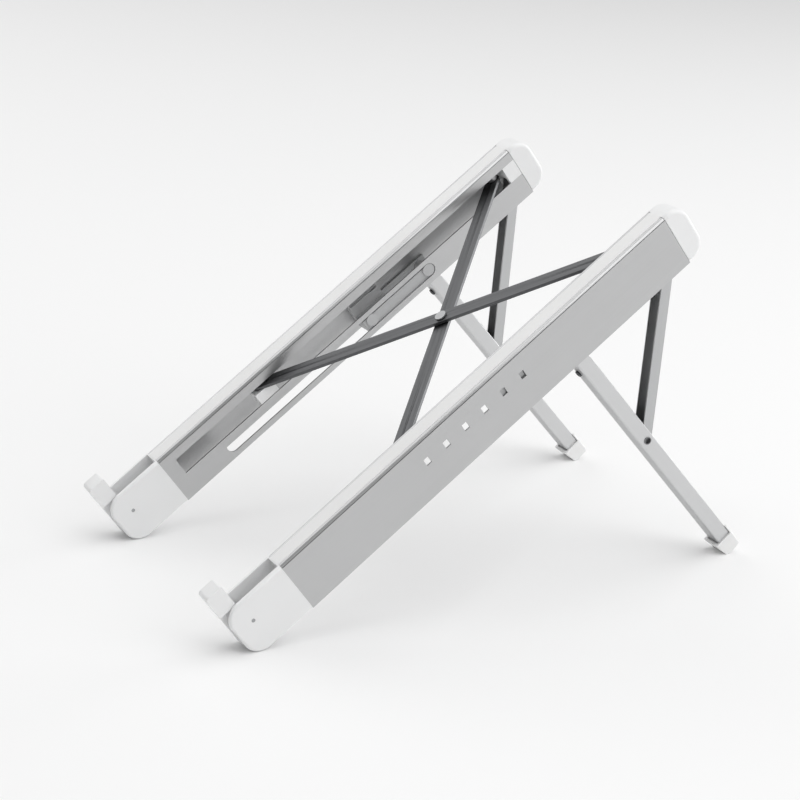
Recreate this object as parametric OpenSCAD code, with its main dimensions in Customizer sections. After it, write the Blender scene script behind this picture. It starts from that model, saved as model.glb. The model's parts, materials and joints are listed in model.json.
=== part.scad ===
// Folding two-bar tablet stand: two channel bars on an expanding cross linkage,
// each bar with a swing-out leg, a brace, a latched slider and a fold-away hook.
// Local axes of the sloping assembly: x across, y up the slope, z square to the slope.
// The top line of each bar's side wall is local z = bar_top.

/* [Bars] */
// Clear gap between the two bars
bar_gap = 131.2; // [120:0.1:150]
// Width of one bar
bar_w = 14.7; // [14.6:0.1:15.4]
// Height of a bar's side wall
bar_h = 27.7; // [27:0.1:29]
// Length of the metal bar
bar_len = 245.2; // [243:0.1:260]
// Thickness of a bar's side walls
bar_wall = 0.9; // [0.85:0.05:1]
// Height of the cross linkage's slot in the inner wall
slot_h = 9.9; // [9.5:0.1:10.5]
// Width of the soft strip on top of a bar
pad_w = 9; // [7:0.1:9.4]

/* [End caps] */
// Length of the upper end cap beyond the bar
upper_cap_len = 11.8; // [11:0.1:20]
// Length of the lower end cap beyond the bar
lower_cap_len = 35.3; // [35:0.1:37]
// Corner radius of the caps seen from the side
cap_corner_r = 9; // [8:0.1:9.5]
// Diameter of the hook's pin
hook_pin_d = 2; // [1.8:0.1:2.4]

/* [Leg] */
// Angle between a leg and its bar
leg_angle = 85.5; // [80:0.1:88]
// Width of the leg channel
leg_w = 9.8; // [9.4:0.1:9.9]
// Depth of the leg channel
leg_d = 8; // [7.8:0.1:8.4]
// Distance from the leg's top pivot to the end of its channel
leg_len = 148.5; // [140:0.1:150]
// Distance from the leg's top pivot to the brace pivot
brace_at = 69; // [66:0.1:70]

/* [Brace] */
// Angle between a brace and its bar
brace_angle = 49.9; // [49:0.1:51]
// Width of the brace channel
brace_w = 8; // [7.6:0.1:8]
// Depth of the brace channel
brace_d = 5.9; // [5.6:0.1:6]

/* [Height latch] */
// Spacing of the six height holes
hole_pitch = 12.2; // [11:0.1:13]
// Size of a height hole up the slope
hole_u = 2.9; // [2.6:0.05:3]
// Size of a height hole square to the slope
hole_n = 3.8; // [3.5:0.05:4]

/* [Cross linkage] */
// Distance between an arm's two end pivots
arm_len = 216.7; // [214:0.1:218]
// Width of an arm
arm_w = 8; // [6:0.1:8]

/* [Hidden] */

$fn = 48;
gap = 0.3;             // gap between parts that move past each other
fit = 0.05;            // radial clearance of a running pin
seam = 0.2;            // open joint between a bar and its upper cap
eps = 0.01;

// Bar and cap levels
bar_x = bar_gap / 2 + bar_w / 2;
bar_u0 = 3.5;
bar_u1 = bar_u0 + bar_len;
bar_top = -9;
bar_bottom = bar_top - bar_h;
shoulder_top = bar_top + 1.1;
pad_top = bar_top + 1.5;
ceiling = bar_top - 1.5;
inside_x = bar_w / 2 - bar_wall;
slot_top = bar_top - 4.8;
slot_bottom = slot_top - slot_h;
cap_h = pad_top - 0.1 - bar_bottom;
plug_len = 7.9;

// Leg linkage: top pivot S, brace pivot M, upper brace pivot P
leg_wall = 0.6;
brace_wall = 0.6;
pivot_b = leg_d / 2;
rivet_b = pivot_b + 0.3;
s_u = 177.3;
s_n = -31.1;
leg_dir = [cos(leg_angle), -sin(leg_angle)];
leg_back = [sin(leg_angle), cos(leg_angle)];
m_u = s_u + brace_at * leg_dir[0] + (rivet_b - pivot_b) * leg_back[0];
m_n = s_n + brace_at * leg_dir[1] + (rivet_b - pivot_b) * leg_back[1];
p_u = bar_u1 - 2.5;
p_n = m_n + (p_u - m_u) * tan(brace_angle);
brace_len = (p_u - m_u) / cos(brace_angle);
fold_drop = p_n - s_n - (rivet_b - pivot_b);
s_folded = p_u - sqrt(brace_len * brace_len - fold_drop * fold_drop) - brace_at;

// Pins
pin_r = 1.5;
rivet_r = 1.85;

// Slider and latch
latch_n = bar_top - 10.2;
hole_top_u = 148.7;
guide_h = 7.4;
guide_n = s_n + 1.2;
tail = 45;
block_u1 = s_u - 25.2;
block_x0 = 1.95;
plate_x1 = inside_x - gap;
plate_t = 0.9;
plate_h = 7;
button_fit = 0.2;      // gap round the lock button in a hole and in its window
flange = 0.6;          // how far the button's flange reaches past its tip
parked_u = hole_top_u - (s_u - s_folded);
park_depth = 0.6;

// Hook, with coordinates measured from its pin
hook_u = -21.5;
hook_n = -19.4;
hook_front = -10.7;
hook_back = -1.3;
hook_top = 23.9;
hook_neck = 11.2;
hook_tail = -9;
head_w = 9.6;
neck_w = 5;

// Screw boss in the leg's top end
boss_y = 14.3;
boss_r = 2.9;
screw_r = 1.2;
screw_head_r = 1.8;
screw_head_h = 1.3;

// Foot
foot_w = 11.7;
foot_len = 8.5;
foot_lip = 0.9;
foot_flare = 2.1;
foot_r = 2.5;
foot_end = leg_len + foot_len;

// Cross linkage
pivot_x = bar_x - 2.5;
pivot_u = 234.5;
arm_t = 1.8;
arm_a_top = slot_top - 1.4;
arm_b_top = arm_a_top - arm_t - gap;
cross_angle = asin(2 * pivot_x / arm_len);
shoe_u = pivot_u - arm_len * cos(cross_angle);
shoe_len = 12;

// The stand rests on the rounded corners of its lower caps and feet
cap_c = [bar_u0 - lower_cap_len + cap_corner_r, bar_bottom + cap_corner_r];
function leg_point(a, b) = [
    s_u + a * leg_dir[0] + (b - pivot_b) * leg_back[0],
    s_n + a * leg_dir[1] + (b - pivot_b) * leg_back[1]
];
foot_c = leg_point(foot_end - foot_r, -foot_lip + foot_r);
span = cap_c - foot_c;
tilt = atan2(span[0], span[1]) + acos((cap_corner_r - foot_r) / norm(span));
function world_y(p) = p[0] * cos(tilt) - p[1] * sin(tilt);
function world_z(p) = p[0] * sin(tilt) + p[1] * cos(tilt);
hook_tip_r = 2;
front_y = world_y([hook_u + hook_front + hook_tip_r, hook_n + hook_top - hook_tip_r]) - hook_tip_r;
rear_y = world_y(leg_point(foot_end - foot_r, leg_d + 1 - foot_r)) + foot_r;
lift = cap_corner_r - world_z(cap_c);

// ---- placing and drawing helpers ----

// From the sloping frame to the standing frame, floor at z = 0
module standing() {
    translate([0, -(front_y + rear_y) / 2, lift]) rotate([tilt, 0, 0]) children();
}

// side = 1 places on the right bar's centre plane, side = -1 mirrors to the left bar
module on_bar(side) {
    standing() mirror([side > 0 ? 0 : 1, 0, 0]) translate([bar_x, 0, 0]) children();
}

// Leg frame: y runs down the leg from its top pivot, z from front face to open back
module on_leg(side) {
    on_bar(side) translate([0, s_u, s_n]) rotate([-leg_angle, 0, 0]) translate([0, 0, -pivot_b]) children();
}

// Brace frame: y runs up the brace from its lower pivot, z from web to open side
module on_brace(side) {
    on_bar(side) translate([0, m_u, m_n]) rotate([brace_angle, 0, 0]) translate([0, 0, -brace_d / 2]) children();
}

// Hook frame: origin on the hook's pin
module on_hook(side) {
    on_bar(side) translate([0, hook_u, hook_n]) children();
}

// Extrudes an x-z outline from y0 to y1
module along(y0, y1) {
    translate([0, y1, 0]) rotate([90, 0, 0]) linear_extrude(y1 - y0) children();
}

// Extrudes a y-z outline across x0 to x1
module across(x0, x1) {
    translate([x0, 0, 0]) rotate([90, 0, 90]) linear_extrude(x1 - x0) children();
}

// Round bar along x at a y-z place
module x_pin(r, x0, x1, y = 0, z = 0) {
    translate([x0, y, z]) rotate([0, 90, 0]) cylinder(r = r, h = x1 - x0);
}

module box(x, y, z) {
    translate([x[0], y[0], z[0]]) cube([x[1] - x[0], y[1] - y[0], z[1] - z[0]]);
}

// Square-cornered outline with its two outer corners rounded, used round a cap's edge
module edge_profile(big_r, w, r) {
    translate([0, -w / 2]) square([big_r - r, w]);
    translate([0, -w / 2 + r]) square([big_r, w - 2 * r]);
    for (s = [-1, 1]) translate([big_r - r, s * (w / 2 - r)]) circle(r);
}

// Quarter of a rounded wheel between straight down and +y
module edge_corner(big_r, w, r) {
    rotate([0, 90, 0]) rotate_extrude(angle = 90) edge_profile(big_r, w, r);
}

// Slab from y = 0 to len, top at z = 0, with a round-cornered end and soft edges
module soft_slab(len, h, w, big_r, r) {
    translate([0, len - big_r, big_r - h]) edge_corner(big_r, w, r);
    translate([0, len - big_r, -big_r]) rotate([90, 0, 0]) edge_corner(big_r, w, r);
    translate([0, len - big_r, big_r - h]) linear_extrude(h - 2 * big_r)
        rotate(90) edge_profile(big_r, w, r);
    along(0, len - big_r) {
        translate([0, -big_r]) rotate(90) edge_profile(big_r, w, r);
        translate([0, big_r - h]) rotate(-90) edge_profile(big_r, w, r);
        translate([-w / 2, big_r - h]) square([w, h - 2 * big_r]);
    }
}

// Open channel outline: outer size w by d, closed along z = 0, softened outer corners
module channel_profile(w, d, wall, r, rear_r) {
    difference() {
        union() {
            translate([-w / 2, r]) square([w, d - r - rear_r]);
            translate([-w / 2 + r, 0]) square([w - 2 * r, d]);
            for (s = [-1, 1]) {
                translate([s * (w / 2 - r), r]) circle(r);
                translate([s * (w / 2 - rear_r), d - rear_r]) circle(rear_r);
            }
        }
        translate([-w / 2 + wall, wall]) square([w - 2 * wall, d]);
    }
}

// ---- bars ----

module bar_outline() {
    shoulder_r = shoulder_top - bar_top;
    lip = 0.25;
    groove = lip + 0.3;
    difference() {
        union() {
            translate([-bar_w / 2, bar_bottom]) square([bar_w, bar_h]);
            // Rounded shoulders beside the soft strip
            translate([-bar_w / 2 + groove + shoulder_r, bar_top])
                square([bar_w - 2 * (groove + shoulder_r), shoulder_r]);
            for (s = [-1, 1]) intersection() {
                translate([s * (bar_w / 2 - groove - shoulder_r), bar_top]) circle(shoulder_r);
                translate([-bar_w / 2, bar_top]) square([bar_w, shoulder_r]);
            }
        }
        // Hollow, open below
        translate([-inside_x, bar_bottom - 1]) square([2 * inside_x, ceiling - bar_bottom + 1]);
        // Seat of the soft strip
        translate([-pad_w / 2, bar_top - 0.2]) square([pad_w, 3]);
        // Fine groove beside each shoulder
        for (x = [-bar_w / 2 + lip, bar_w / 2 - groove])
            translate([x, bar_top - 0.5]) square([groove - lip, 1]);
    }
}

module bar(side) {
    color("#c3c5c7") on_bar(side) difference() {
        along(bar_u0, bar_u1) bar_outline();
        // Slot of the cross linkage, closed only at the lower end
        box([-bar_w / 2 - 1, -inside_x + 1], [bar_u0 + plug_len, bar_u1 + 1], [slot_bottom, slot_top]);
        // Height holes in the outer wall
        for (i = [0:5]) translate([inside_x - 1, hole_top_u - i * hole_pitch - hole_u / 2, latch_n - hole_n / 2])
            cube([bar_wall + 2, hole_u, hole_n]);
        // Guide slot of the slider in the inner wall
        guide_u0 = s_folded - 40;
        box([-bar_w / 2 - 1, -inside_x + 1], [guide_u0, s_u], [guide_n - guide_h / 2, guide_n + guide_h / 2]);
        for (u = [guide_u0, s_u]) x_pin(guide_h / 2, -bar_w / 2 - 1, -inside_x + 1, u, guide_n);
        // Blind pocket where the button rests when the leg is folded
        translate([0, parked_u - hole_u / 2, latch_n - hole_n / 2]) cube([inside_x + park_depth, hole_u, hole_n]);
    }
}

module top_pad(side) {
    edge_r = 0.8;
    base = bar_top - 0.2;
    color("#f4f5f5") on_bar(side) along(bar_u0, bar_u1 + seam) {
        translate([-pad_w / 2, base]) square([pad_w, pad_top - edge_r - base]);
        translate([-pad_w / 2 + edge_r, base]) square([pad_w - 2 * edge_r, pad_top - base]);
        for (s = [-1, 1]) translate([s * (pad_w / 2 - edge_r), pad_top - edge_r]) circle(edge_r);
    }
}

// ---- end caps ----

module upper_end_cap(side) {
    slot_x = brace_w / 2 + gap;
    color("#eef0f0") on_bar(side) difference() {
        union() {
            translate([0, bar_u1 + seam, pad_top - 0.1])
                soft_slab(upper_cap_len - seam, cap_h, bar_w, cap_corner_r, 2.2);
            // Plug inside the bar, filling the end of the linkage's slot
            box([-inside_x, inside_x], [bar_u1 - plug_len, bar_u1 + seam + 1], [p_n - 4.2, ceiling]);
            box([-bar_w / 2, -inside_x + eps], [bar_u1 - plug_len, bar_u1], [slot_bottom, slot_top]);
        }
        // Brace slot, open downwards and down the slope
        box([-slot_x, slot_x], [bar_u1 - plug_len - 1, p_u + 3.4], [bar_bottom - 1, p_n + 3.3]);
        x_pin(pin_r, -5.6, 5.6, p_u, p_n);
    }
}

module lower_end_cap(side) {
    slot_x = head_w / 2 + gap;
    color("#eef0f0") on_bar(side) difference() {
        union() {
            translate([0, bar_u0, pad_top - 0.1]) mirror([0, 1, 0])
                soft_slab(lower_cap_len, cap_h, bar_w, cap_corner_r, 1.3);
            box([-inside_x, inside_x], [bar_u0 - eps, bar_u0 + 6], [bar_bottom + 1.5, ceiling]);
        }
        // Room for the hook's neck and for its head when it lies folded
        box([-slot_x, slot_x], [-60, hook_u + hook_neck + 0.5], [-30.2, 20]);
        box([-slot_x, slot_x], [-60, hook_u + hook_top + 0.5], [hook_n + 0.8, 20]);
        x_pin(hook_pin_d / 2, -bar_w, bar_w, hook_u, hook_n);
    }
}

module hook(side) {
    color("#f1f2f2") on_hook(side) difference() {
        union() {
            across(-head_w / 2, head_w / 2) hook_head_outline();
            across(-neck_w / 2, neck_w / 2) {
                translate([hook_front, hook_tail]) square([hook_back - hook_front - 0.4, hook_neck + 1 - hook_tail]);
                circle(6.3);
            }
        }
        x_pin(hook_pin_d / 2 + fit, -bar_w, bar_w);
    }
}

module hook_head_outline() {
    back_r = 1;
    h = hook_top - hook_neck;
    w = hook_back - hook_front;
    translate([hook_front, hook_neck]) {
        square([w, h - hook_tip_r]);
        translate([hook_tip_r, 0]) square([w - hook_tip_r - back_r, h]);
        translate([hook_tip_r, h - hook_tip_r]) circle(hook_tip_r);
        translate([w - back_r, h - back_r]) circle(back_r);
    }
}

module hook_pin(side) {
    color("#9b9d9f") on_hook(side) x_pin(hook_pin_d / 2, -bar_w / 2 + 0.1, bar_w / 2 - 0.1);
}

// ---- slider and height latch ----

module slider(side) {
    block_u0 = s_u - tail;
    nose_u = s_u + 5;
    low = s_n - plate_h / 2;
    high = s_n + plate_h / 2;
    button_u = hole_top_u;
    color("#a9abad") on_bar(side) difference() {
        union() {
            // Side plates that straddle the leg's top end
            for (x = [-plate_x1, plate_x1 - plate_t]) box([x, x + plate_t], [block_u0, nose_u], [low, high]);
            // Cross block, and the latch block beside the outer wall
            box([-plate_x1, plate_x1], [block_u0, block_u1], [low, high]);
            box([block_x0, plate_x1], [block_u0, block_u1], [low, latch_n + 3.6]);
            // Guide studs in the inner wall's slot
            for (u = [s_u - 40, s_u]) x_pin(guide_h / 2 - gap, -bar_w / 2 + 0.3, -plate_x1 + 0.1, u, guide_n);
        }
        // Pocket and window of the lock button, and the seat of its leaf spring
        half_u = hole_u / 2 + flange;
        half_n = hole_n / 2 + flange;
        box([block_x0 - 1, 4.75], [button_u - half_u, button_u + half_u], [latch_n - half_n, latch_n + half_n]);
        box([block_x0, plate_x1 + 1], [button_u - hole_u / 2, button_u + hole_u / 2],
            [latch_n - hole_n / 2, latch_n + hole_n / 2]);
        box([block_x0 - 1, block_x0 + 0.55], [block_u0 + 1, block_u1 - 1], [latch_n - 2, latch_n + 2]);
        // Holes of the leg's top pin
        x_pin(pin_r + fit, -plate_x1 - 0.3, -leg_w / 2 + 0.3, s_u, s_n);
        x_pin(pin_r + fit, leg_w / 2 - 0.3, plate_x1 + 0.3, s_u, s_n);
    }
}

module lock_button(side) {
    back_x = block_x0 + 0.7;
    tip_u = hole_u / 2 - button_fit;
    tip_n = hole_n / 2 - button_fit;
    color("#8f9193") on_bar(side) translate([0, hole_top_u, latch_n]) {
        box([back_x, back_x + 0.6], [-tip_u - flange, tip_u + flange], [-tip_n - flange, tip_n + flange]);
        box([back_x, plate_x1], [-tip_u, tip_u], [-tip_n, tip_n]);
    }
}

module lock_spring(side) {
    color("#b8babc") on_bar(side)
        box([block_x0 + 0.05, block_x0 + 0.35], [s_u - tail + 1.2, block_u1 - 1.2], [latch_n - 1.6, latch_n + 1.6]);
}

// ---- leg ----

// Side outline of the leg from its rounded top to length end_y
module leg_side(end_y) {
    nose_r = 2.8;
    translate([0, pivot_b]) circle(nose_r);
    polygon([[0, pivot_b - nose_r], [4, 0], [end_y, 0], [end_y, leg_d], [9.4, leg_d],
        [7.6, leg_d - 0.5], [5.6, leg_d - 1.1], [0, pivot_b + nose_r]]);
}

module leg(side) {
    color("#c9cbcd") on_leg(side) difference() {
        intersection() {
            along(-5, leg_len) channel_profile(leg_w, leg_d, leg_wall, 0.9, 0.5);
            across(-leg_w, leg_w) leg_side(leg_len);
        }
        x_pin(pin_r, -leg_w, leg_w, 0, pivot_b);
        x_pin(rivet_r, -leg_w, leg_w, brace_at, rivet_b);
        translate([0, boss_y, -1]) cylinder(r = boss_r, h = 3);
    }
}

// Moulded block in the leg's top end that carries the top pin, with a screw boss
module leg_insert(side) {
    block_w = leg_w - 2 * leg_wall;
    color("#d7d9da") on_leg(side) difference() {
        union() {
            intersection() {
                across(-block_w / 2, block_w / 2) leg_side(21);
                box([-block_w, block_w], [-5, 21], [leg_wall, leg_d - 1.2]);
            }
            translate([0, boss_y, -0.15]) cylinder(r = boss_r, h = leg_wall + 0.6);
        }
        x_pin(pin_r, -leg_w, leg_w, 0, pivot_b);
        translate([0, boss_y, -1]) cylinder(r = screw_r, h = 6.2);
    }
}

// Pan-head screw with a hexagon socket
module insert_screw(side) {
    edge_r = 0.5;
    seat = -0.15;
    color("#4a4c4e") on_leg(side) translate([0, boss_y, 0]) difference() {
        rotate_extrude() {
            translate([0, -screw_head_h]) square([screw_head_r - edge_r, screw_head_h + seat]);
            translate([0, edge_r - screw_head_h]) square([screw_head_r, screw_head_h + seat - edge_r]);
            translate([screw_head_r - edge_r, edge_r - screw_head_h]) circle(edge_r);
            translate([0, seat - eps]) square([screw_r, 5 - seat]);
        }
        translate([0, 0, -screw_head_h - 1]) cylinder(r = 1, h = 1.8, $fn = 6);
    }
}

module leg_top_pin(side) {
    color("#8f9193") on_leg(side) x_pin(pin_r, -leg_w / 2, leg_w / 2, 0, pivot_b);
}

module foot(side) {
    notch_x = brace_w / 2 + gap;
    color("#f3f4f4") on_leg(side) difference() {
        union() {
            intersection() {
                across(-foot_w / 2, foot_w / 2) foot_side();
                // Softened across its width
                along(0, foot_end) {
                    edge = 0.8;
                    translate([-foot_w / 2, -foot_flare + edge]) square([foot_w, leg_d + 1 + foot_flare - 2 * edge]);
                    translate([-foot_w / 2 + edge, -foot_flare]) square([foot_w - 2 * edge, leg_d + 1 + foot_flare]);
                    for (x = [-1, 1], y = [-foot_flare + edge, leg_d + 1 - edge])
                        translate([x * (foot_w / 2 - edge), y]) circle(edge);
                }
            }
            // Tongue that plugs the channel
            box([-leg_w / 2 + leg_wall, leg_w / 2 - leg_wall], [leg_len - 10, leg_len + 1], [leg_wall, 5.2]);
        }
        // Socket of the channel's end
        difference() {
            box([-leg_w / 2, leg_w / 2], [0, leg_len], [0, leg_d]);
            box([-leg_w / 2 + leg_wall, leg_w / 2 - leg_wall], [leg_len - 10, leg_len], [leg_wall, 5.2]);
        }
        // Open joint in front of the channel's end
        box([-leg_w / 2 + 0.4, leg_w / 2 - 0.4], [0, leg_len + 0.6], [-0.7, 1]);
        // Nest of the brace when the leg is folded
        box([-notch_x, notch_x], [0, foot_end + 1], [5.2, leg_d + 5]);
    }
}

module foot_side() {
    rear = leg_d + 1;
    translate([leg_len - 0.6, -foot_lip]) square([foot_end - foot_r - leg_len + 0.6, rear + foot_lip]);
    // Flared front lip
    polygon([[leg_len - 0.6, 0], [leg_len - 0.6, -foot_flare], [leg_len + 0.4, -foot_flare],
        [foot_end - foot_r, -foot_lip], [foot_end - foot_r, 0]]);
    translate([leg_len - 0.6, -foot_lip + foot_r]) square([foot_len + 0.6, rear + foot_lip - 2 * foot_r]);
    for (z = [-foot_lip + foot_r, rear - foot_r]) translate([foot_end - foot_r, z]) circle(foot_r);
    // Lips behind the channel's rear edges
    translate([leg_len - 5.5, leg_d]) square([6, 1]);
}

// ---- brace ----

module brace_side() {
    r = brace_d / 2;
    for (y = [0, brace_len]) translate([y, r]) circle(r);
    translate([0, 0]) square([brace_len, brace_d]);
}

module brace(side) {
    color("#bfc1c3") on_brace(side) difference() {
        intersection() {
            along(-5, brace_len + 5) channel_profile(brace_w, brace_d, brace_wall, 0.5, 0.3);
            across(-brace_w, brace_w) brace_side();
        }
        x_pin(rivet_r + fit, -brace_w, brace_w, 0, brace_d / 2);
        x_pin(pin_r + fit, -brace_w, brace_w, brace_len, brace_d / 2);
    }
}

module brace_rivet(side) {
    head_h = 0.3;
    half = leg_w / 2;
    color("#7d7f81") on_leg(side) translate([0, brace_at, rivet_b]) difference() {
        union() {
            x_pin(rivet_r, -half - head_h, half + head_h);
            for (x = [-half - head_h, half]) x_pin(2, x, x + head_h);
        }
        for (x = [-half - head_h - 1, half + head_h - 1.8]) x_pin(1.55, x, x + 2.8);
    }
}

module brace_top_pin(side) {
    color("#8f9193") on_bar(side) x_pin(pin_r, -5.6, 5.6, p_u, p_n);
}

// ---- cross linkage ----

// Flat arm from the upper pivot at side * pivot_x to the shoe on the other side
module scissor_arm(side, top) {
    run = [-2 * side * pivot_x, shoe_u - pivot_u];
    heading = atan2(run[1], run[0]);
    color("#a4a6a8") standing() translate([side * pivot_x, pivot_u, top - arm_t]) rotate([0, 0, heading])
        difference() {
            union() {
                for (x = [0, arm_len]) translate([x, 0, 0]) cylinder(r = arm_w / 2, h = arm_t);
                translate([0, -arm_w / 2, 0]) cube([arm_len, arm_w, arm_t]);
            }
            for (x = [0, arm_len / 2, arm_len]) translate([x, 0, -1]) cylinder(r = pin_r + fit, h = arm_t + 2);
        }
}

module scissor_center_rivet() {
    head_h = 0.8;
    foot_n = arm_b_top - arm_t;
    color("#8f9193") standing() translate([0, (pivot_u + shoe_u) / 2, 0]) {
        translate([0, 0, foot_n - 0.2]) cylinder(r = pin_r, h = arm_a_top - foot_n + 0.4);
        translate([0, 0, foot_n - 0.2 - head_h]) cylinder(r = 3, h = head_h);
        translate([0, 0, arm_a_top + 0.2]) cylinder(r = 3, h = head_h);
    }
}

// Fixed upper pivot: collar and stud hanging from the bar's ceiling
module scissor_pivot(side, top) {
    stud_h = ceiling - top + arm_t + gap;
    color("#8f9193") on_bar(side) translate([pivot_x - bar_x, pivot_u, 0]) {
        translate([0, 0, top + gap]) cylinder(r = 3, h = ceiling - top - gap);
        translate([0, 0, ceiling - stud_h]) cylinder(r = pin_r, h = stud_h);
        translate([0, 0, ceiling - stud_h - 0.9]) cylinder(r = 3, h = 0.9);
    }
}

module scissor_shoe(side, top) {
    high = top - arm_t - gap;
    low = slot_bottom + gap;
    color("#e4e6e6") on_bar(side) translate([0, shoe_u, 0]) difference() {
        union() {
            box([-inside_x + gap, 1.05], [-shoe_len / 2, shoe_len / 2], [low, high]);
            box([-bar_w / 2 + gap, 0], [-shoe_len / 2, shoe_len / 2], [low, min(high, slot_top - gap)]);
        }
        translate([pivot_x - bar_x, 0, low + 1]) cylinder(r = pin_r, h = 20);
    }
}

module shoe_pin(side, top) {
    foot_n = slot_bottom + gap + 1;
    color("#8f9193") on_bar(side) translate([pivot_x - bar_x, shoe_u, 0]) {
        translate([0, 0, foot_n]) cylinder(r = pin_r, h = top + 0.3 - foot_n);
        translate([0, 0, top + 0.3]) cylinder(r = 2.6, h = 0.8);
    }
}

bar(1);  // bar_right
bar(-1);  // bar_left
top_pad(1);  // top_pad_right
top_pad(-1);  // top_pad_left
upper_end_cap(1);  // upper_end_cap_right
upper_end_cap(-1);  // upper_end_cap_left
lower_end_cap(1);  // lower_end_cap_right
lower_end_cap(-1);  // lower_end_cap_left
hook(1);  // hook_right
hook(-1);  // hook_left
hook_pin(1);  // hook_pin_right
hook_pin(-1);  // hook_pin_left
slider(1);  // slider_right
slider(-1);  // slider_left
lock_button(1);  // lock_button_right
lock_button(-1);  // lock_button_left
lock_spring(1);  // lock_spring_right
lock_spring(-1);  // lock_spring_left
leg(1);  // leg_right
leg(-1);  // leg_left
leg_insert(1);  // leg_insert_right
leg_insert(-1);  // leg_insert_left
insert_screw(1);  // insert_screw_right
insert_screw(-1);  // insert_screw_left
leg_top_pin(1);  // leg_top_pin_right
leg_top_pin(-1);  // leg_top_pin_left
foot(1);  // foot_right
foot(-1);  // foot_left
brace(1);  // brace_right
brace(-1);  // brace_left
brace_rivet(1);  // brace_rivet_right
brace_rivet(-1);  // brace_rivet_left
brace_top_pin(1);  // brace_top_pin_right
brace_top_pin(-1);  // brace_top_pin_left
scissor_arm(1, arm_a_top);  // scissor_arm_upper
scissor_arm(-1, arm_b_top);  // scissor_arm_lower
scissor_center_rivet();
scissor_pivot(1, arm_a_top);  // scissor_pivot_right
scissor_pivot(-1, arm_b_top);  // scissor_pivot_left
scissor_shoe(1, arm_b_top);  // scissor_shoe_right
scissor_shoe(-1, arm_a_top);  // scissor_shoe_left
shoe_pin(1, arm_b_top);  // shoe_pin_right
shoe_pin(-1, arm_a_top);  // shoe_pin_left
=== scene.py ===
"""Folding tablet stand: finishes, floor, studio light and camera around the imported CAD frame."""

import json
import math

import bpy
from mathutils import Matrix, Vector


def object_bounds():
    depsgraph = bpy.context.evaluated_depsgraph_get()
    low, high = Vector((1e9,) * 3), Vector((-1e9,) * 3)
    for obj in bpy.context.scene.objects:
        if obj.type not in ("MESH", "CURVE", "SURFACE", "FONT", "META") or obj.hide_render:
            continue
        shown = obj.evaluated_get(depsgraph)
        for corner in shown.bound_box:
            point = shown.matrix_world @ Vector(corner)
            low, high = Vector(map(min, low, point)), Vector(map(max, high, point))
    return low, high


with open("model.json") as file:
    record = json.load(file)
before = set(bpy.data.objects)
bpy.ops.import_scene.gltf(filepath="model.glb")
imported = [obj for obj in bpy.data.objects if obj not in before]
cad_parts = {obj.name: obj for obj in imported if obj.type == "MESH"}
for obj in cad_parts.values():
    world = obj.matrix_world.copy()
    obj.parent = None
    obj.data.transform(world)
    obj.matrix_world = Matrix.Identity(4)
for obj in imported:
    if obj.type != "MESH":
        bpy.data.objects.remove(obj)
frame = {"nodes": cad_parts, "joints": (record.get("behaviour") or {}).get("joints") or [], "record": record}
cad_low, cad_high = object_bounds()

MM = 0.001
LEG_TO_BAR = math.radians(85.5)
ARM_TO_BAR = math.radians(40.56)

mounts = {m["name"]: m for m in frame["record"]["mounts"]}
joints = {j["name"]: j for j in frame["joints"]}

# Slopes of the bars, braces and legs, as angles up from +Y
rest_axis = Vector(mounts["tablet_rest_right"]["axis"])
TILT = math.atan2(-rest_axis.y, rest_axis.z)
brace_top = Vector(joints["right_brace_pivot"]["pos_m"])
brace_low = Vector(joints["right_leg_pivot"]["pos_m"])
brace_run = brace_top - brace_low
BRACE_ANGLE = math.atan2(brace_run.z, brace_run.y)
LEG_ANGLE = TILT - LEG_TO_BAR


# ---- node helpers ----

def new_material(name, color, metallic, roughness):
    material = bpy.data.materials.new(name)
    material.use_nodes = True
    tree = material.node_tree
    shader = tree.nodes["Principled BSDF"]
    shader.inputs["Base Color"].default_value = (*color, 1.0)
    shader.inputs["Metallic"].default_value = metallic
    shader.inputs["Roughness"].default_value = roughness
    return material, tree, shader


def link(tree, source, target):
    tree.links.new(source, target)


def local_coordinates(tree, angle=0.0, heading=0.0, scale=(1.0, 1.0, 1.0)):
    """Object coordinates turned so that their Y runs along the piece, then scaled."""
    source = tree.nodes.new("ShaderNodeTexCoord")
    turn = tree.nodes.new("ShaderNodeMapping")
    turn.vector_type = "POINT"
    turn.inputs["Rotation"].default_value = (-angle, 0.0, 0.0)
    link(tree, source.outputs["Object"], turn.inputs["Vector"])
    spin = tree.nodes.new("ShaderNodeMapping")
    spin.inputs["Rotation"].default_value = (0.0, 0.0, heading)
    link(tree, turn.outputs["Vector"], spin.inputs["Vector"])
    stretch = tree.nodes.new("ShaderNodeMapping")
    stretch.inputs["Scale"].default_value = scale
    link(tree, spin.outputs["Vector"], stretch.inputs["Vector"])
    return stretch.outputs["Vector"]


def noise(tree, vector, scale, detail=3.0, rough=0.55):
    texture = tree.nodes.new("ShaderNodeTexNoise")
    texture.inputs["Scale"].default_value = scale
    texture.inputs["Detail"].default_value = detail
    texture.inputs["Roughness"].default_value = rough
    link(tree, vector, texture.inputs["Vector"])
    return texture.outputs["Fac"]


def remap(tree, value, low, high, in_low=0.3, in_high=0.7):
    ranges = tree.nodes.new("ShaderNodeMapRange")
    ranges.inputs["From Min"].default_value = in_low
    ranges.inputs["From Max"].default_value = in_high
    ranges.inputs["To Min"].default_value = low
    ranges.inputs["To Max"].default_value = high
    link(tree, value, ranges.inputs["Value"])
    return ranges.outputs["Result"]


def mixed_color(tree, factor, first, second):
    mix = tree.nodes.new("ShaderNodeMix")
    mix.data_type = "RGBA"
    mix.inputs["A"].default_value = (*first, 1.0)
    mix.inputs["B"].default_value = (*second, 1.0)
    link(tree, factor, mix.inputs["Factor"])
    return mix.outputs["Result"]


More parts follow.
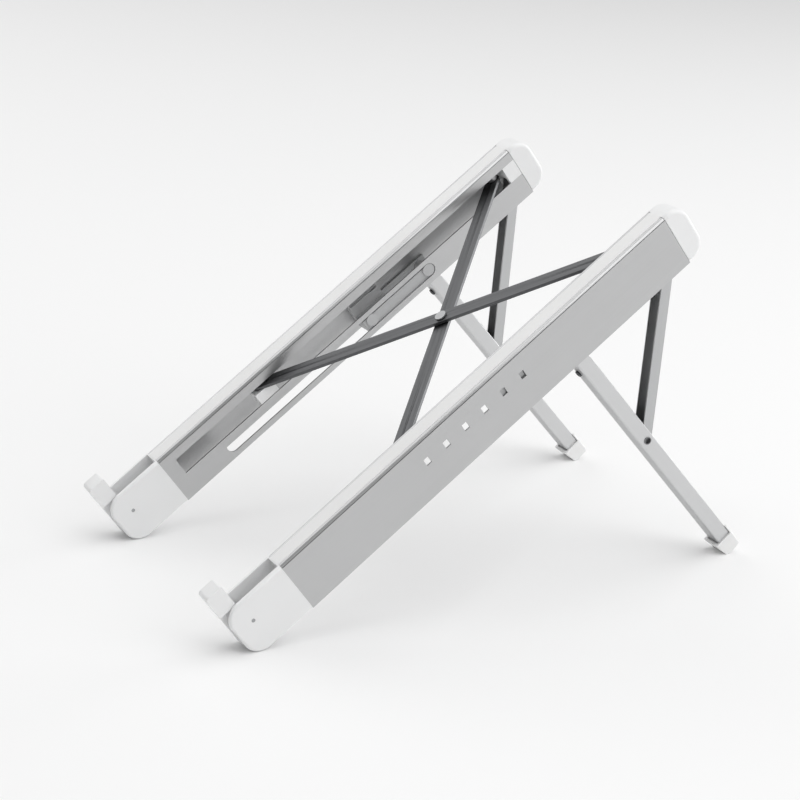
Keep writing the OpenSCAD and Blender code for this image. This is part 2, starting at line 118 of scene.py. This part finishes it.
def bump(tree, height, distance, strength=1.0, base=None):
    node = tree.nodes.new("ShaderNodeBump")
    node.inputs["Distance"].default_value = distance
    node.inputs["Strength"].default_value = strength
    link(tree, height, node.inputs["Height"])
    if base is not None:
        link(tree, base, node.inputs["Normal"])
    return node.outputs["Normal"]


# ---- finishes ----

def anodised(name, color, angle, heading=0.0, edge_tint=1.0):
    """Satin anodised extrusion: fine die lines along it, under a blasted, slightly cloudy coat."""
    material, tree, shader = new_material(name, color, metallic=1.0, roughness=0.38)
    shader.inputs["Specular Tint"].default_value = (edge_tint, edge_tint, edge_tint, 1.0)
    along = local_coordinates(tree, angle, heading, (1.0, 0.012, 1.0))
    plain = local_coordinates(tree)
    lines = noise(tree, along, scale=1500.0, detail=4.0, rough=0.6)
    grain = noise(tree, plain, scale=5200.0, detail=2.0)
    cloud = noise(tree, plain, scale=16.0, detail=3.0)
    shade = remap(tree, cloud, low=0.0, high=1.0)
    darker = tuple(c * 0.955 for c in color)
    link(tree, mixed_color(tree, shade, darker, color), shader.inputs["Base Color"])
    link(tree, remap(tree, lines, low=0.33, high=0.45), shader.inputs["Roughness"])
    blasted = bump(tree, grain, distance=0.012 * MM, strength=0.5)
    drawn = bump(tree, lines, distance=0.014 * MM, strength=0.6, base=blasted)
    link(tree, drawn, shader.inputs["Normal"])
    return material


def moulded(name, color, roughness, grain_scale, grain_depth, subsurface=0.0):
    """Moulded plastic or silicone: spark-eroded grain, faint tone drift and uneven gloss."""
    material, tree, shader = new_material(name, color, metallic=0.0, roughness=roughness)
    shader.inputs["IOR"].default_value = 1.47
    if subsurface:
        shader.inputs["Subsurface Weight"].default_value = subsurface
        shader.inputs["Subsurface Radius"].default_value = (1.0, 0.95, 0.9)
        shader.inputs["Subsurface Scale"].default_value = 1.2 * MM
    plain = local_coordinates(tree)
    grain = noise(tree, plain, scale=grain_scale, detail=3.0, rough=0.6)
    drift = noise(tree, plain, scale=28.0, detail=2.0)
    handled = noise(tree, plain, scale=90.0, detail=4.0)
    shade = remap(tree, drift, low=0.0, high=1.0)
    gloss = remap(tree, handled, low=roughness - 0.05, high=roughness + 0.06)
    darker = tuple(c * 0.965 for c in color)
    link(tree, mixed_color(tree, shade, darker, color), shader.inputs["Base Color"])
    link(tree, gloss, shader.inputs["Roughness"])
    link(tree, bump(tree, grain, grain_depth, strength=0.6), shader.inputs["Normal"])
    return material


def turned_steel(name, color, roughness):
    """Pins and rivets: bright steel with fine turning marks and slight wear."""
    material, tree, shader = new_material(name, color, metallic=1.0, roughness=roughness)
    plain = local_coordinates(tree)
    turned = local_coordinates(tree, TILT, 0.0, (1.0, 0.2, 1.0))
    scratch = noise(tree, turned, scale=3800.0, detail=3.0)
    wear = noise(tree, plain, scale=450.0, detail=4.0)
    shade = remap(tree, wear, low=0.0, high=1.0)
    gloss = remap(tree, wear, low=roughness - 0.06, high=roughness + 0.1)
    darker = tuple(c * 0.78 for c in color)
    link(tree, mixed_color(tree, shade, darker, color), shader.inputs["Base Color"])
    link(tree, gloss, shader.inputs["Roughness"])
    link(tree, bump(tree, scratch, distance=0.01 * MM, strength=0.5), shader.inputs["Normal"])
    return material


BAR_METAL = (0.54, 0.542, 0.545)
LEG_METAL = (0.64, 0.643, 0.647)
BRACE_METAL = (0.52, 0.525, 0.53)
# The scissor arms' dark grey is partly their own dark steel and partly painted shade, standing for the shade
# inside the bars' slot
ARM_DARK_METAL_AND_SHADE = (0.12, 0.122, 0.126)
bar_metal = anodised("anodised_bar", BAR_METAL, TILT)
leg_metal = anodised("anodised_leg", LEG_METAL, LEG_ANGLE, edge_tint=0.7)
brace_metal = anodised("anodised_brace", BRACE_METAL, BRACE_ANGLE, edge_tint=0.7)
arm_upper_metal_and_shade = anodised("brushed_scissor_arm_upper_and_painted_shade", ARM_DARK_METAL_AND_SHADE, TILT, ARM_TO_BAR)
arm_lower_metal_and_shade = anodised("brushed_scissor_arm_lower_and_painted_shade", ARM_DARK_METAL_AND_SHADE, TILT, -ARM_TO_BAR)
white_plastic = moulded("white_plastic", (0.85, 0.853, 0.855), 0.40, 2600.0, 0.02 * MM, 0.08)
silicone = moulded("white_silicone", (0.85, 0.85, 0.847), 0.62, 1800.0, 0.03 * MM, 0.1)
grey_plastic = moulded("grey_plastic", (0.50, 0.505, 0.51), 0.45, 2600.0, 0.02 * MM)
pin_steel = turned_steel("pin_steel", (0.42, 0.425, 0.43), 0.34)
rivet_steel = turned_steel("rivet_steel", (0.30, 0.303, 0.31), 0.38)
black_steel = turned_steel("black_steel", (0.11, 0.112, 0.118), 0.36)

# Each node takes the first finish here whose text its name starts with
FINISHES = [
    ("bar_", bar_metal),
    ("top_pad", silicone),
    ("upper_end_cap", white_plastic),
    ("lower_end_cap", white_plastic),
    ("hook_pin", pin_steel),
    ("hook", white_plastic),
    ("slider", grey_plastic),
    ("lock", pin_steel),
    ("leg_insert", grey_plastic),
    ("insert_screw", black_steel),
    ("leg_top_pin", pin_steel),
    ("leg_", leg_metal),
    ("foot", silicone),
    ("brace_rivet", rivet_steel),
    ("brace_top_pin", pin_steel),
    ("brace_", brace_metal),
    ("scissor_arm_upper", arm_upper_metal_and_shade),
    ("scissor_arm_lower", arm_lower_metal_and_shade),
    ("scissor_shoe", white_plastic),
    ("scissor_", pin_steel),
    ("shoe_pin", pin_steel),
]


def finish_for(node):
    return next(material for start, material in FINISHES if node.startswith(start))


# Edge softening, in millimetres, chosen in the same way; pieces not named keep their edges
SOFT_EDGES = [
    ("bar_", 0.08), ("leg_insert", 0.2), ("leg_top", 0.1), ("leg_", 0.12), ("brace_rivet", 0.12),
    ("brace_", 0.12), ("hook_pin", 0.1), ("hook", 0.7), ("foot", 0.35), ("scissor_arm", 0.2),
    ("slider", 0.2), ("upper_end_cap", 0.25), ("lower_end_cap", 0.5), ("insert_screw", 0.12),
]


def soften(piece, width_mm):
    """Rounds a piece's sharp edges slightly, so that they catch the light."""
    weld = piece.modifiers.new("weld", "WELD")
    weld.merge_threshold = 0.002 * MM
    edge = piece.modifiers.new("edge", "BEVEL")
    edge.width = width_mm * MM
    edge.segments = 2
    edge.limit_method = "ANGLE"
    edge.angle_limit = math.radians(40)
    edge.harden_normals = True


for node, piece in frame["nodes"].items():
    for slot in piece.material_slots:
        slot.material = finish_for(node)
    width = next((w for start, w in SOFT_EDGES if node.startswith(start)), None)
    if width:
        soften(piece, width)


# ---- floor, light and camera ----

FLOOR_HALF_WIDTH = 6.0
WORLD_BRIGHTNESS = 0.42
SENSOR_WIDTH = 36.0

# Name, place in metres, size in metres and brightness of each soft box
LIGHTS = [
    ("overhead", (0.3, 0.2, 1.9), 2.2, 1.45),
    ("left_high", (-1.7, -0.4, 1.3), 1.8, 1.05),
    ("right_back", (1.7, 1.2, 1.1), 1.6, 1.6),
    ("back_low", (0.0, 1.9, 0.4), 0.8, 4.0),
]


def make_floor():
    half = FLOOR_HALF_WIDTH
    mesh = bpy.data.meshes.new("floor")
    corners = [(-half, -half, 0.0), (half, -half, 0.0), (half, half, 0.0), (-half, half, 0.0)]
    mesh.from_pydata(corners, [], [(0, 1, 2, 3)])
    floor = bpy.data.objects.new("floor", mesh)
    bpy.context.scene.collection.objects.link(floor)
    material, _tree, _shader = new_material("pale_floor", (0.90, 0.90, 0.90), 0.0, 0.7)
    mesh.materials.append(material)


def area_light(name, place, target, size, brightness):
    """Square soft box. Brightness is its radiance, so a larger box gives more light."""
    data = bpy.data.lights.new(name, "AREA")
    data.shape = "SQUARE"
    data.size = size
    data.energy = brightness * math.pi * size * size
    light = bpy.data.objects.new(name, data)
    light.location = place
    aim = Vector(target) - Vector(place)
    light.rotation_euler = aim.to_track_quat("-Z", "Y").to_euler()
    bpy.context.scene.collection.objects.link(light)


make_floor()
middle = (cad_low + cad_high) / 2
for name, place, size, brightness in LIGHTS:
    area_light(name, place, middle, size, brightness)

world = bpy.data.worlds.new("studio")
world.use_nodes = True
background = world.node_tree.nodes["Background"]
background.inputs["Color"].default_value = (1.0, 1.0, 1.0, 1.0)
background.inputs["Strength"].default_value = WORLD_BRIGHTNESS
bpy.context.scene.world = world
bpy.context.scene.view_settings.view_transform = "Standard"


def aim_camera(place, azimuth, elevation, roll, lens):
    """Angles in degrees: azimuth 0 looks along +Y and 90 along -X, and elevation looks down."""
    a, e, r = (math.radians(v) for v in (azimuth, elevation, roll))
    forward = Vector((-math.sin(a) * math.cos(e), math.cos(a) * math.cos(e), -math.sin(e)))
    level = Vector((math.cos(a), math.sin(a), 0.0))
    upright = level.cross(forward)
    right = math.cos(r) * level + math.sin(r) * upright
    up = right.cross(forward)
    data = bpy.data.cameras.new("camera")
    data.lens = lens
    data.sensor_width = SENSOR_WIDTH
    camera = bpy.data.objects.new("camera", data)
    turn = Matrix((right, up, -forward)).transposed()
    camera.matrix_world = Matrix.Translation(place) @ turn.to_4x4()
    bpy.context.scene.collection.objects.link(camera)
    bpy.context.scene.camera = camera


camera_place = Vector((0.9807, -0.5391, 0.4778))
aim_camera(camera_place, azimuth=61.58, elevation=19.635, roll=1.292, lens=107.06)
